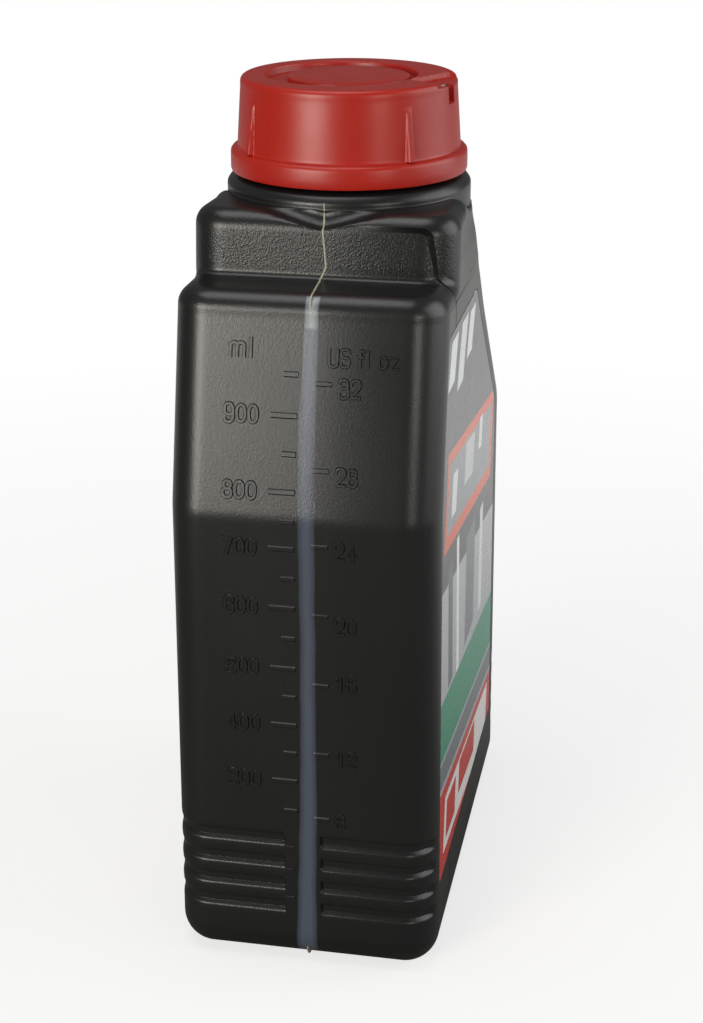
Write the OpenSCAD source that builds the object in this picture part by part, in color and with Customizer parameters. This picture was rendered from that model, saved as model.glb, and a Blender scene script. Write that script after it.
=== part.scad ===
// One-litre fork oil bottle with a shouldered blow-moulded body, scale side and screw cap.
// Origin: centre of the resting base, +Z up; the scale side faces -X, the front label -Y.

/* [Body] */
// Width of the broad face, scale side to far side
body_w = 117; // [105:1:129]
// Depth between the two broad faces at the base
body_d = 62.8; // [57:0.5:68]
// Narrowing of each broad face per mm of height
face_draft = 0.0055; // [0:0.0005:0.01]
// Share of the half depth lost between scale side and far side
plan_taper = 0.02; // [0:0.005:0.04]
// Moulded wall thickness
wall = 1.3; // [1:0.1:1.8]
// Radius of the upright edges beside the scale side
corner_r = 8.2; // [6:0.2:10]
// Radius of the upright edges on the far side
far_corner_r = 9.2; // [7:0.2:11]
// Radius of the edge round the base
base_r = 7.8; // [6:0.2:9]
// Depth of the shallow hollow under the base
base_hollow = 1.1; // [0.6:0.1:1.4]

/* [Shoulders] */
// Height of the crease where the scale side starts to lean in
crease_z = 113.8; // [108:0.2:118]
// How far the scale side has leaned in at the ledge
lean = 10.2; // [8:0.1:12]
// Height of the level ledge above the scale
ledge_z = 162; // [158:0.2:164]
// Radius of the edge round the ledge
ledge_r = 4.5; // [3.5:0.1:5]
// Distance from the neck axis to the near face of the upper block
block_x = 33.4; // [32:0.1:35]
// Height of the top of the upper block
block_top = 176.4; // [175:0.2:177.6]
// Radius of the edge round the top of the upper block
block_round = 4.4; // [3:0.1:5]
// Depth of the V-shaped notch in front of the collar
vee_depth = 3.8; // [3:0.1:4.4]
// Half width of that notch along the top of the block
vee_half = 12.5; // [10:0.5:15]
// Height where the far shoulder starts
shoulder_z = 111; // [106:0.5:116]
// Height where the far shoulder runs into the round tower under the neck
tower_z = 158.5; // [154:0.5:161]

/* [Neck] */
// Radius of the round collar under the cap
collar_r = 28.5; // [28.2:0.1:29]
// Height of the top of the collar
collar_top = 178.9; // [177:0.1:179.2]
// Outer radius of the neck under the thread
neck_r = 20.4; // [19.5:0.1:20.6]
// Radius of the mouth
bore_r = 18.2; // [16:0.1:18.6]

/* [Cap] */
// Height of the cap
cap_h = 21.5; // [20.5:0.1:23]
// Gap between the collar and the cap
cap_gap = 1.6; // [1.4:0.1:2.4]
// Radius of the cap at its top edge
cap_r = 25; // [24.8:0.1:25.4]
// Radius of the skirt just above the flange
skirt_r = 26; // [25.8:0.1:26.4]
// Radius of the flange round the bottom of the cap
flange_r = 27.6; // [27.2:0.1:28]
// Height of the flange
flange_h = 5.5; // [4.5:0.1:6.5]
// Radius inside the red shell
shell_bore = 23.4; // [23.2:0.1:23.6]
// Number of upright tapered ribs on the skirt
rib_count = 4; // [3:1:6]
// Direction of the first rib
first_rib = 42.5; // [0:0.5:60]
// Direction of the notch in the rim
notch_a = 258.5; // [250:0.5:270]

/* [Ribs] */
// Height of the lowest moulded groove near the base
groove_z = 15.3; // [14:0.1:16.5]
// Distance from one groove to the next
groove_step = 6; // [5.5:0.1:6.2]
// Number of grooves
groove_count = 4; // [3:1:4]
// Radius of the rounded cut of a groove
groove_r = 1.3; // [1:0.1:1.5]

/* [Labels] */
// Lower edge of the front label
label_low = 20; // [18:0.5:24]
// Upper edge of the front label
label_high = 152; // [146:0.5:153]
// Thickness of each label
label_t = 0.3; // [0.2:0.05:0.35]

/* [Hidden] */
half_w = body_w / 2;
half_d = body_d / 2;
// oil stands clear of the wall by this much
fill_gap = 0.35;
// level of one litre
fill_z = 155;
// depth of the shallow panel that takes a label
panel_t = 0.65;
// gap under and round a seated label
seat_gap = 0.3;
// clear gap between pieces of the cap that are clipped together
clip_gap = 0.3;
floor_z = base_hollow + 1.5;
cap_bottom = collar_top + cap_gap;
cap_top = cap_bottom + cap_h;
// pieces of the inner cap
inner_r = shell_bore - clip_gap;
inner_bore = inner_r - 1.3;
shell_roof = cap_top - 2.4;
inner_top = shell_roof - clip_gap;
inner_roof = inner_top - 1.5;
inner_low = cap_bottom + 2.6;
liner_t = 0.8;
liner_r = inner_bore - 0.4;
liner_gap = 0.3;
liner_z = inner_roof - liner_gap - liner_t;
lip_z = liner_z - liner_gap;
// slopes of the broad faces
yaw_face = atan(half_d * plan_taper / body_w);
tilt_face = atan(face_draft);

function mix(a, b, f) = a + (b - a) * f;

// X of the scale side below the ledge: upright, then leaning in
function near_x(z) = lookup(z, [[0, -half_w], [crease_z, -half_w], [ledge_z, -half_w + lean]]);
// X of the near face of the upper block
function block_near(z) = -block_x + 0.075 * (z - ledge_z - 6.5);

// half depth at the scale side
function half_y(z) = half_d - face_draft * z;

// how far along the far shoulder, 0 at its foot and 1 at the tower
function shoulder_f(z) = min(1, max(0, (z - shoulder_z) / (tower_z - shoulder_z)));
// where the flat part of the broad face ends
function flat_end(z) = mix(half_w - far_corner_r, 0, shoulder_f(z));
// radius of the far edge, which grows until the section is round about the neck
function far_r(z) = mix(far_corner_r, half_y(z) * (1 - plan_taper / 2) - 0.6, shoulder_f(z));

// one level outline moved in by t, whose near face stands at x_near
function arc_pts(cx, cy, rx, ry, a0, a1, n) = [
    for (i = [0:n]) let (a = mix(a0, a1, i / n)) [cx + rx * cos(a), cy + ry * sin(a)]];
function side_y(x, h) = h * (1 - plan_taper * (x + half_w) / body_w);
function outline(z, t, x_near) = let (
        x0 = x_near + t,
        rn = max(corner_r - t, 0.8),
        xe = flat_end(z),
        rf = max(far_r(z) - t, 0.8),
        hn = side_y(x0 + rn, half_y(z)) - t,
        hf = side_y(xe, half_y(z)) - t)
    concat(
        arc_pts(xe, hf - rf, rf, rf, 0, 90, 6),
        arc_pts(x0 + rn, hn - rn, rn, rn, 90, 180, 5),
        arc_pts(x0 + rn, -hn + rn, rn, rn, 180, 270, 5),
        arc_pts(xe, -hf + rf, rf, rf, 270, 360, 6));

function lower(z, t) = [for (p = outline(z, t, near_x(z))) [p[0], p[1], z]];
function upper(z, t, up) = [for (p = outline(z, t, block_near(z))) [p[0], p[1], z + up]];

// foot of the rounding round the ledge, and where the block's side starts above it
foot_z = ledge_z - ledge_r;
block_z = ledge_z + 1.5;

// how far a point lies inside the outline at the foot of the ledge's rounding
function inside(p, t) = let (
        r = max(corner_r - t, 0.8),
        dx = p[0] - near_x(foot_z) - t,
        dy = side_y(p[0], half_y(foot_z)) - t - abs(p[1]))
    (dx < r && dy < r) ? r - norm([r - dx, r - dy]) : min(dx, dy);
function drop(d, r) = (d >= r) ? 0 : r - sqrt(r * r - pow(r - max(d, 0), 2));

// rows that round over the ledge's edge and run along it to the block, at the near face and near corners
function ledge_rows(t) = let (
        r = ledge_r - t,
        low = lower(foot_z, t),
        high = upper(block_z, t, 0))
    [for (s = [0.02, 0.09, 0.19, 0.3, 0.9, 1]) [for (i = [0:len(low) - 1]) let (p = mix(low[i], high[i], s))
        (i > 6 && i < 19) ?
            [p[0], p[1], foot_z + r - drop(inside(p, t), r) + (s == 1 ? block_z - ledge_z : 0)] : p]];

// a closed solid from rows of points
module pile(rows) {
    n = len(rows[0]);
    m = len(rows);
    pts = [for (r = rows) each r];
    sides = [for (k = [0:m - 2]) for (i = [0:n - 1]) let (j = (i + 1) % n)
        each [[k * n + i, (k + 1) * n + j, k * n + j], [k * n + i, (k + 1) * n + i, (k + 1) * n + j]]];
    low = [for (i = [0:n - 1]) i];
    high = [for (i = [n - 1:-1:0]) (m - 1) * n + i];
    polyhedron(points = pts, faces = concat([low], sides, [high]));
}

function base_rows(z0, r, t) = [for (a = [0:30:90])
    [for (p = lower(base_r, t + r * (1 - sin(a)))) [p[0], p[1], z0 + r * (1 - cos(a))]]];
side_z = [shoulder_z, crease_z, mix(crease_z, foot_z, 0.3), mix(crease_z, foot_z, 0.65)];
function side_rows(t) = [for (z = side_z) [for (p = lower(z, t)) [p[0], p[1], z - t]]];
function top_rows(t) = let (r = block_round - t)
    [for (a = [0:30:90]) upper(block_top, t + r * (1 - cos(a)), -t - r * (1 - sin(a)))];

// the body's form up to the top of the block, moved in by t
module whole_form(t, z0) {
    pile(concat(base_rows(z0, base_r - t, t), side_rows(t), [lower(foot_z, t)], ledge_rows(t),
        [upper(ledge_z + 6.5, t, 0)], top_rows(t)));
}

// the form of what fills the body up to a level below the ledge
module fill_form(t, z0, z1) {
    pile(concat(base_rows(z0, base_r - t, t), side_rows(t), [lower(z1, t)]));
}

// V-shaped notch in front of the collar, lowered by g
module vee(g, x1) {
    rise = vee_depth / vee_half;
    translate([-half_w, 0, block_top - vee_depth - g])
        rotate([90, 0, 90])
            linear_extrude(height = half_w + x1)
                polygon([[0, 0], [24, 24 * rise], [-24, 24 * rise]]);
}

module cavity() {
    difference() {
        whole_form(wall, floor_z);
        vee(wall * 1.05, -collar_r + 2);
    }
}

// outline of the front label, seen from the front
module label_shape(grow) {
    x0 = -half_w + 8.3;
    x1 = half_w - 13.8;
    lean_x = x0 + lean * (label_high - crease_z) / (ledge_z - crease_z);
    cut_z = shoulder_z + 0.5;
    top_x = x1 - (label_high - cut_z) * (half_w - far_corner_r) / (tower_z - shoulder_z);
    offset(r = 2 + grow)
        offset(delta = -2)
            polygon([
                [x0, label_low], [x1, label_low], [x1, cut_z],
                [top_x, label_high], [lean_x, label_high], [x0, crease_z]]);
}

// a flat slab laid into the front face, t1 to t2 below it
module face_slab(t1, t2) {
    rotate([-tilt_face, 0, 0])
        translate([-half_w, -half_d + t1, 0])
            rotate([0, 0, yaw_face])
                translate([half_w, 0, 0])
                    rotate([90, 0, 0])
                        translate([0, 0, t1 - t2])
                            linear_extrude(height = t2 - t1)
                                children();
}

module at_back() {
    mirror([0, 1, 0])
        children();
}

// straight rounded cuts across the two narrow sides
module grooves() {
    for (k = [0:groove_count - 1]) {
        z = groove_z + k * groove_step;
        for (y = [-22.4, 4.2])
            translate([-half_w - groove_r * 0.4, y, z])
                rotate([-90, 0, 0])
                    cylinder(r = groove_r, h = 18.2, $fn = 40);
        translate([half_w + groove_r * 0.4, -20.5, z])
            rotate([-90, 0, 0])
                cylinder(r = groove_r, h = 41, $fn = 40);
    }
}

module base_plate() {
    translate([0, 0, -1])
        linear_extrude(height = base_hollow + 1)
            offset(r = 8, $fn = 48)
                square([body_w - 2 * base_r - 28, body_d - 2 * base_r - 28], center = true);
}

module bottle() {
    color("#26272a")
        difference() {
            union() {
                difference() {
                    whole_form(0, 0);
                    vee(0, -20);
                }
                rotate_extrude($fn = 96)
                    polygon([
                        [0, ledge_z + 6], [collar_r, ledge_z + 6], [collar_r, collar_top - 0.8],
                        [collar_r - 0.8, collar_top], [neck_r, collar_top], [neck_r, lip_z - 0.5],
                        [neck_r - 0.5, lip_z], [0, lip_z]]);
            }
            cavity();
            translate([0, 0, ledge_z + 6])
                cylinder(r = bore_r, h = lip_z - ledge_z, $fn = 96);
            face_slab(-2, panel_t)
                label_shape(seat_gap);
            at_back()
                face_slab(-2, panel_t)
                    label_shape(seat_gap);
            base_plate();
            grooves();
        }
}

module oil() {
    color("#6b5a3a")
        difference() {
            fill_form(wall + fill_gap, floor_z + fill_gap, fill_z);
            face_slab(-2, panel_t + wall + fill_gap)
                label_shape(3);
            at_back()
                face_slab(-2, panel_t + wall + fill_gap)
                    label_shape(3);
            translate([0, 0, groove_z - 4])
                for (s = [-1, 1])
                    translate([s * (half_w - wall - 0.6) - 0.6, -half_d, 0])
                        cube([1.2, body_d, groove_step * groove_count + 3]);
        }
}

module front_label() {
    color("#8b9095")
        face_slab(panel_t - seat_gap - label_t, panel_t - seat_gap)
            label_shape(0);
}

module back_label() {
    color("#b9bcc0")
        at_back()
            face_slab(panel_t - seat_gap - label_t, panel_t - seat_gap)
                label_shape(0);
}

module cap_liner() {
    color("#e8e6e0")
        translate([0, 0, liner_z])
            cylinder(r = liner_r, h = liner_t, $fn = 96);
}

module cap_inner() {
    color("#c9c6d4")
        rotate_extrude($fn = 96)
            polygon([
                [0, inner_roof], [inner_bore, inner_roof], [inner_bore, inner_low],
                [inner_r, inner_low], [inner_r, inner_top - 1], [inner_r - 1, inner_top],
                [0, inner_top]]);
}

module cap_shell() {
    color("#b5241c") {
        difference() {
            union() {
                rotate_extrude($fn = 96)
                    polygon([
                        [0, shell_roof], [shell_bore - 1, shell_roof], [shell_bore, shell_roof - 1],
                        [shell_bore, cap_bottom + 0.4], [shell_bore + 0.4, cap_bottom],
                        [flange_r - 0.4, cap_bottom], [flange_r, cap_bottom + 0.4],
                        [flange_r, cap_bottom + flange_h - 1.2], [flange_r - 0.9, cap_bottom + flange_h - 0.2],
                        [skirt_r, cap_bottom + flange_h], [cap_r + 0.12, cap_top - 2.4],
                        [cap_r - 0.1, cap_top - 0.7], [cap_r - 0.8, cap_top], [0, cap_top]]);
                for (k = [0:rib_count - 1])
                    rotate([0, 0, first_rib + k * 360 / rib_count])
                        translate([skirt_r - 1.6, -0.75, cap_bottom + flange_h - 1])
                            cube([1.9, 1.5, cap_h / 2]);
            }
            // recess round the raised centre of the top
            difference() {
                translate([0.4, 1.9, cap_top - 1.1])
                    cylinder(r = 17.8, h = 3, $fn = 96);
                translate([0, 0, cap_top - 2])
                    cylinder(r = 14.2, h = 1.7, $fn = 96);
            }
            // wedge-shaped step down beside the recess, and the notch at its end
            rotate([0, 0, notch_a - 67.3])
                translate([0, 0, cap_top - 1.2])
                    linear_extrude(height = 3)
                        scale(cap_r / 25)
                            polygon([[8.2, 13.8], [-2.4, 23.4], [-2.4, 28], [11, 28], [16.5, 21.5]]);
            rotate([0, 0, notch_a])
                translate([inner_r - 0.5, -1.7, cap_top - 5.2])
                    cube([8, 3.4, 8]);
        }
    }
}

bottle();
oil();
front_label();
back_label();
cap_liner();
cap_inner();
cap_shell();
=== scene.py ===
"""A one-litre fork oil bottle: blow-moulded black body with a level stripe, labels and a red screw cap.

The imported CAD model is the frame. Each operator below makes one piece or one group of like pieces as a
surface worked out with numpy, in millimetres, in the frame's own axes: +Z up along the neck, -X towards
the narrow side with the level stripe, -Y towards the front label.
"""
import math

import bpy
import numpy as np
from mathutils import Matrix, Vector


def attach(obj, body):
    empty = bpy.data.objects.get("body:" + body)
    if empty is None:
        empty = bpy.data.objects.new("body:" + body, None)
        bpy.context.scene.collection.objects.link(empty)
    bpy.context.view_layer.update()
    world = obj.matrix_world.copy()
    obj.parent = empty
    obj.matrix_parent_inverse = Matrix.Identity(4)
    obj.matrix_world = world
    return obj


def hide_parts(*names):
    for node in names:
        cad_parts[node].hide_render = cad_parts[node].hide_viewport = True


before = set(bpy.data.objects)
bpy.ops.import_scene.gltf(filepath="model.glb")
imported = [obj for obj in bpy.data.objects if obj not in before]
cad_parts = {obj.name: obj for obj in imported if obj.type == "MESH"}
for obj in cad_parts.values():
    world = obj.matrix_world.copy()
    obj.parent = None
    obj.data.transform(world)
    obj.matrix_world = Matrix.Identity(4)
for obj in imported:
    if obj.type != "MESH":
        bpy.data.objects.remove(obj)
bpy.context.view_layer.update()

bl_info = {
    "name": "Oil bottle with level stripe",
    "version": (1, 0, 0),
    "blender": (4, 5, 0),
    "location": "View3D > Sidebar > Bottle",
    "description": "Builds a blow-moulded oil bottle with its labels and screw cap",
    "category": "Add Mesh",
}

MM = 0.001


class BottleSizes(bpy.types.PropertyGroup):
    """Sizes of the body that a user would change."""

    half_width: bpy.props.FloatProperty(
        name="Half width", description="Neck axis to the scale side", default=0.0585, unit="LENGTH")
    half_depth: bpy.props.FloatProperty(
        name="Half depth", description="Neck axis to a broad face at the base", default=0.0314, unit="LENGTH")
    corner_radius: bpy.props.FloatProperty(
        name="Near corner radius", description="Upright edges beside the scale side",
        default=0.0082, unit="LENGTH")
    far_radius: bpy.props.FloatProperty(
        name="Far corner radius", description="Upright edges on the far side", default=0.0092, unit="LENGTH")
    base_radius: bpy.props.FloatProperty(
        name="Base radius", description="Rounding round the base", default=0.0078, unit="LENGTH")
    groove_depth: bpy.props.FloatProperty(
        name="Groove depth", description="Depth of the moulded grip grooves", default=0.00095, unit="LENGTH")
    label_recess: bpy.props.FloatProperty(
        name="Label panel depth", description="Depth of the panel that takes a label",
        default=0.00065, unit="LENGTH")
    relief: bpy.props.FloatProperty(
        name="Scale relief", description="Height of the raised scale marks", default=0.00035, unit="LENGTH")


class CapSizes(bpy.types.PropertyGroup):
    """Sizes of the screw cap that a user would change."""

    top: bpy.props.FloatProperty(
        name="Cap top", description="Height of the top of the cap", default=0.202, unit="LENGTH")
    bottom: bpy.props.FloatProperty(
        name="Cap bottom", description="Height of the lower edge of the cap", default=0.1805, unit="LENGTH")
    flange_radius: bpy.props.FloatProperty(
        name="Flange radius", description="Radius of the flange round the bottom",
        default=0.0276, unit="LENGTH")
    rib_height: bpy.props.FloatProperty(
        name="Rib height", description="How far the ribs stand out at their foot",
        default=0.0012, unit="LENGTH")
    thread_pitch: bpy.props.FloatProperty(
        name="Thread pitch", description="Rise of the thread in one turn", default=0.004, unit="LENGTH")


class BottleColours(bpy.types.PropertyGroup):
    """Colours as sRGB hex values, turned to linear when a material is made."""

    body: bpy.props.StringProperty(name="Body", description="Black polyethylene", default="111213")
    stripe: bpy.props.StringProperty(
        name="Stripe", description="Natural polyethylene over oil", default="4c5261")
    stripe_clear: bpy.props.StringProperty(
        name="Stripe above the oil", description="Natural polyethylene over air", default="878f94")
    cap: bpy.props.StringProperty(name="Cap", description="Red polypropylene", default="a81a08")
    insert: bpy.props.StringProperty(name="Cap insert", description="Pale polypropylene", default="c9c4d6")
    oil: bpy.props.StringProperty(name="Oil", description="Fork oil", default="a8895a")


def sizes():
    """The body's sizes in millimetres."""
    s = bpy.context.scene.bottle_sizes
    return {k: getattr(s, k) / MM for k in BottleSizes.__annotations__}


def cap_sizes():
    """The cap's sizes in millimetres."""
    s = bpy.context.scene.cap_sizes
    return {k: getattr(s, k) / MM for k in CapSizes.__annotations__}


# the body's heights above the floor and its radii about the neck's axis, in millimetres
SHOULDER_Z = 111.0
CREASE_Z = 113.8
TOWER_Z = 158.5
NARROW_Z = 160.0
LEDGE_Z = 162.0
LEDGE_R = 4.5
FOOT_Z = LEDGE_Z - LEDGE_R
BLOCK_Z = LEDGE_Z + 1.5
BLOCK_MID = 168.5
BLOCK_TOP = 176.4
FAR_TOP = 172.3
COLLAR_R = 28.5
NECK_R = 20.4
BORE_R = 18.2
LIP_Z = 196.4
THREAD_LOW = 182.5
THREAD_HIGH = 194.2
# places and sizes of the walls and what they carry, in millimetres
NEAR_X = -58.15
FAR_X = 49.3
WALL = 1.3
TOP_FILLET = 0.35
GROOVE_STEP = 6.0
GROOVES = 15.3 + GROOVE_STEP * np.arange(4)
LABEL_LOW = 20.0
LABEL_HIGH = 152.0
LABEL_CORNER = 2.0
# the cap: directions in degrees about the neck's axis, and its recess in millimetres
RIB_TURN = 42.5
NOTCH_TURN = 258.5
NOTCH = math.radians(NOTCH_TURN)
RECESS_AT = (0.4, 1.9)
RECESS_R = 17.8


def linear(hex_value, alpha=1.0):
    """An sRGB hex value as a linear colour: each channel through the sRGB curve."""
    c = np.array([int(hex_value[i:i + 2], 16) for i in (0, 2, 4)]) / 255.0
    c = np.where(c <= 0.04045, c / 12.92, ((c + 0.055) / 1.055) ** 2.4)
    return (*c.tolist(), alpha)


def mix(a, b, f):
    """Value a where the share f is 0, b where it is 1."""
    return a + (b - a) * f


def smooth(e0, e1, v):
    """0 below e0 and 1 above e1, with an S-shaped rise between them."""
    t = np.clip((v - e0) / (e1 - e0), 0.0, 1.0)
    return t * t * (3.0 - 2.0 * t)


def smooth_min(a, b, k):
    """The lower of two heights, with a round fillet about k wide where they meet."""
    h = np.clip(0.5 + 0.5 * (b - a) / k, 0.0, 1.0)
    return mix(b, a, h) - k * h * (1.0 - h)


def quarter(count):
    """Angles of a quarter turn, in so many even places."""
    return np.linspace(0, math.pi / 2, count)


def round_rise(r, depth):
    """Height gained on a round edge of radius r at a depth inside it: sqrt(r^2 - (r - depth)^2)."""
    return np.sqrt(r * r - (r - np.clip(depth, 0, r)) ** 2)


def around(radius, z, angle):
    """Points at a radius and a height, in the given directions about the neck's axis."""
    return np.stack(np.broadcast_arrays(radius * np.cos(angle), radius * np.sin(angle), z), -1)


def turned(profile, columns):
    """Radii and heights of a (radius, height) profile, repeated for each column that it is turned through."""
    r, z = np.array(profile, float).T
    return r[:, None] * np.ones((1, columns)), z[:, None] * np.ones((1, columns))


def filleted(corners, radii, n=14):
    """A line through the given corners, each inner corner replaced by an arc of its radius.

    The arc's tangent points lie r tan(half the turn) from the corner; its points are the corner's two
    tangents blended by a circle about the arc's centre."""
    c = np.array(corners, float)
    out = [c[:1]]
    for p, q, s, r in zip(c[:-2], c[1:-1], c[2:], radii):
        a = (p - q) / np.linalg.norm(p - q)
        b = (s - q) / np.linalg.norm(s - q)
        half = math.acos(np.clip(a @ b, -1, 1)) / 2
        d = r / math.tan(half)
        m = q + (a + b) / np.linalg.norm(a + b) * r / math.sin(half)
        u, v = q + a * d - m, q + b * d - m
        t = np.linspace(0, math.pi - 2 * half, n)[:, None]
        w = (v - u * math.cos(t[-1, 0])) / math.sin(t[-1, 0])
        out.append(m + u * np.cos(t) + w * np.sin(t))
    out.append(c[-1:])
    return np.concatenate(out)


NEAR = filleted([(NEAR_X, -1), (NEAR_X, CREASE_Z), (-45.85, 174.0)], [9.0])
FAR_FLAT = filleted([(FAR_X, -1), (FAR_X, SHOULDER_Z), (0.0, TOWER_Z), (0.0, 190.0)], [7.0, 9.0])


def near_x(z):
    """X of the scale side below the ledge: upright, then leaning in, with a round crease."""
    return np.interp(z, NEAR[:, 1], NEAR[:, 0])


def block_near(z):
    """X of the near face of the upper block."""
    return -33.4 + 0.075 * (z - BLOCK_MID)


def half_y(z):
    """Half depth at the scale side, which narrows with height."""
    return sizes()["half_depth"] - 0.0055 * z


def side_y(x, h):
    """Half depth at x, which narrows by 2% from the scale side to the far side."""
    w = sizes()["half_width"]
    return h * (1.0 - 0.02 * (x + w) / (2 * w))


def flat_end(z):
    """X where the flat of a broad face ends: upright, then along the far shoulder to the neck axis."""
    return np.interp(z, FAR_FLAT[:, 1], FAR_FLAT[:, 0])


def narrowing(z):
    """How far the far part is drawn in above NARROW_Z: 0.11 mm for each millimetre of height."""
    return 0.11 * np.maximum(0.0, z - NARROW_Z)


def far_r(z):
    """Radius of the far edge, which grows along the shoulder until the section is round about the neck."""
    f = 1.0 - flat_end(z) / FAR_X
    tower = side_y(0.0, half_y(z)) - 0.6
    return mix(sizes()["far_radius"], tower, f) - narrowing(z)


def outline_columns():
    """The columns of the body's outline, counter-clockwise from the far side, as (kind, value) arrays.

    kind 0 and 6: half of the far face, value 0 to 1; 1 and 5: a far corner, value in degrees;
    2 and 4: a broad face, near offset below 100, far offset above 200, else a share; 3: near corners and
    near face."""
    near = np.array([0.0, 0.35, 0.6, 1.0, 2.0, 4.0, 7.0])
    far = np.array([8.0, 6.0, 5.2, 4.75, 4.3, 4.0, 3.0, 2.0, 1.0, 0.4])
    middle = np.linspace(0, 1, 12)[1:-1]
    face = [("near", v) for v in near] + [("middle", v) for v in middle] + [("far", v) for v in far]
    y = np.array([0, .6, 1.2, 1.8, 2.4, 3.0, 3.5, 3.8, 4.0, 4.2, 4.4, 4.6, 5.0, 5.6,
                  7, 9, 12, 15, 18, 20, 21.2])
    cols = [("far_face", v) for v in (0.0, 0.5)]
    cols += [("far_corner", a) for a in np.linspace(0, 90, 25)]
    cols += [("back_" + k, v) for k, v in face[::-1]]
    cols += [("near_corner", a) for a in np.linspace(90, 180, 18)[1:]]
    cols += [("near_face", v) for v in np.concatenate([y[::-1], -y[1:]])]
    cols += [("near_corner", a) for a in np.linspace(180.001, 270, 18)[:-1]]
    cols += [("front_" + k, v) for k, v in face]
    cols += [("far_corner", a) for a in np.linspace(270, 360, 25)]
    cols += [("far_face", v) for v in (-0.5,)]
    return cols


COLS = outline_columns()
KIND = np.array([k for k, _ in COLS])
VALUE = np.array([v for _, v in COLS], float)


def section(z, t, near=None):
    """Points of the level outline at height z moved in by t; all are arrays of rows by columns.

    The near face stands at near_x unless another place is given for it.
    The outline is two near corners of the corner radius, two far corners whose radius grows with height,
    and four nearly straight sides between them."""
    s = sizes()
    x0 = (near_x(z) if near is None else near) + t
    rn = np.maximum(s["corner_radius"] - t, 0.8)
    xe = flat_end(z)
    rf = np.maximum(far_r(z) - t, 0.8)
    hn = side_y(x0 + rn, half_y(z)) - t
    tower = narrowing(z) - 0.35 * smooth(140, 158, z) * (1 - smooth(164, 170, z))
    hf = side_y(xe, half_y(z)) - t - tower
    x, y = np.zeros_like(z), np.zeros_like(z)
    a = np.radians(VALUE)[None, :]
    sign = np.where(VALUE > 180, -1.0, 1.0)[None, :]

    def put(mask, px, py):
        x[:, mask] = np.broadcast_to(px, z.shape)[:, mask]
        y[:, mask] = np.broadcast_to(py, z.shape)[:, mask]

    put(KIND == "far_face", xe + rf, VALUE[None, :] * (hf - rf))
    put(KIND == "far_corner", xe + rf * np.cos(a), sign * (hf - rf) + rf * np.sin(a))
    put(KIND == "near_corner", x0 + rn + rn * np.cos(a), sign * (hn - rn) + rn * np.sin(a))
    put(KIND == "near_face", x0, VALUE[None, :] * (hn - rn) / 22.3)
    for side, way in (("back_", 1.0), ("front_", -1.0)):
        start, end = x0 + rn, xe
        length = end - start
        squeeze = np.minimum(1.0, length / 22.0)
        low, high = 7.0 * squeeze, 8.0 * squeeze
        along = {
            "near": VALUE[None, :] * squeeze,
            "middle": low + VALUE[None, :] * (length - low - high),
            "far": length - VALUE[None, :] * squeeze,
        }
        for name, d in along.items():
            put(KIND == side + name, start + d, way * mix(hn, hf, d / length))
    return x, y


def label_edge(z):
    """X of the label's two upright edges: beside the near corner, and beside the end of the flat."""
    return near_x(z) + 8.55, flat_end(z) - 4.3


def label_distance(x, z, grow):
    """How far a point of a broad face lies inside the label's outline, whose corners are round."""
    lo, hi = label_edge(z)
    dx = np.minimum(x - lo, hi - x) + grow
    dz = np.minimum(z - LABEL_LOW, LABEL_HIGH - z) + grow
    r = LABEL_CORNER + grow
    corner = r - np.hypot(np.maximum(r - dx, 0), np.maximum(r - dz, 0))
    return np.minimum(np.minimum(dx, dz), corner)


def groove_inset(z):
    """How far the wall is drawn in by the grip grooves: a rounded cut at each groove's height, over the
    scale side beside the stripe, the near corners and the far side."""
    reach = np.zeros(len(KIND))
    face = KIND == "near_face"
    reach[face] = smooth(3.9, 4.5, np.abs(VALUE[face]))
    near = KIND == "near_corner"
    turn = np.abs(VALUE - 180.0)
    reach[near] = 1.0 - np.where(VALUE < 180, smooth(82, 90, turn), smooth(52, 74, turn))[near]
    far = KIND == "far_corner"
    bend = np.minimum(VALUE, 360 - VALUE)
    reach[far] = 1.0 - smooth(76, 88, bend[far])
    reach[KIND == "far_face"] = 1.0
    cut = np.zeros_like(z)
    for g in GROOVES:
        cut = np.maximum(cut, smooth(1.6, 0.85, np.abs(z - g)))
    wave = 0.1 * (1 + np.cos((z - GROOVES[0]) / GROOVE_STEP * 2 * math.pi))
    land = wave * smooth(10, 14, z) * (1 - smooth(34, 38, z))
    return (sizes()["groove_depth"] * cut + land * (1 - cut)) * reach[None, :]


def body_heights():
    """Heights of the body's rows: close together where a fillet, groove or label edge needs them."""
    base = sizes()["base_radius"]
    z = np.concatenate([
        np.linspace(base + 0.4, 12.4, 6), np.arange(12.7, 37.6, 0.3), np.linspace(40, 106, 26),
        np.arange(107, 122, 1.0), np.arange(123.5, 150, 2.2), np.arange(150.6, 153.6, 0.3),
        np.linspace(154.4, FOOT_Z, 4)])
    return np.unique(np.round(z, 3))


def corner_depth(x, y, x0, h, r):
    """How far a point lies inside an outline whose near face is at x0 and whose near corners are round."""
    dx, dy = x - x0, h - np.abs(y)
    round_part = r - np.hypot(r - dx, r - dy)
    return np.where((dx < r) & (dy < r), round_part, np.minimum(dx, dy))


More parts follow.
